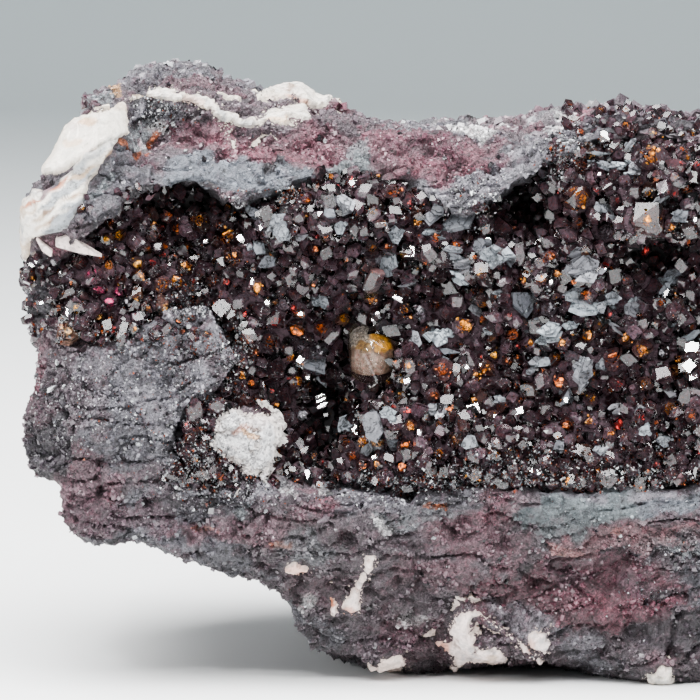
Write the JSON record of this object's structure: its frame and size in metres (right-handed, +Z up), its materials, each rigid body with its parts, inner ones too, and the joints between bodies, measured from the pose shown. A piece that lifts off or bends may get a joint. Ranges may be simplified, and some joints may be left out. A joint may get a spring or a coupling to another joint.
{
  "type": "quartz and barite specimen",
  "caption": "Rough block of dark hematite-rich rock whose long open vug is lined with small dark quartz crystals, with pale barite seams and patches.",
  "frame": {"origin": "centre of the bounding box, at the flat face that the block rests on", "axes": "+X along the vug and the longest extent, -Y is the front with the vug, +Z up"},
  "size_m": [0.067, 0.0434, 0.0415],
  "materials": {
    "rock": "rough broken hematite-rich rock, purple-grey with rust-red bands and a faint metallic glint",
    "quartz": "glassy dark smoky quartz, coloured brown-red and orange from within",
    "amber": "clear colourless to amber-yellow quartz",
    "barite": "massive creamy white barite with a soft waxy lustre"
  },
  "bodies": {
    "root": {"host_rock": "rock", "quartz_crust": "quartz", "amber_quartz": "amber", "barite_slab": "barite", "barite_seam": "barite", "barite_nodule": "barite", "barite_foot": "barite", "barite_heel": "barite", "barite_corner": "barite", "barite_crest": "barite", "barite_back": "barite"}
  },
  "joints": []
}
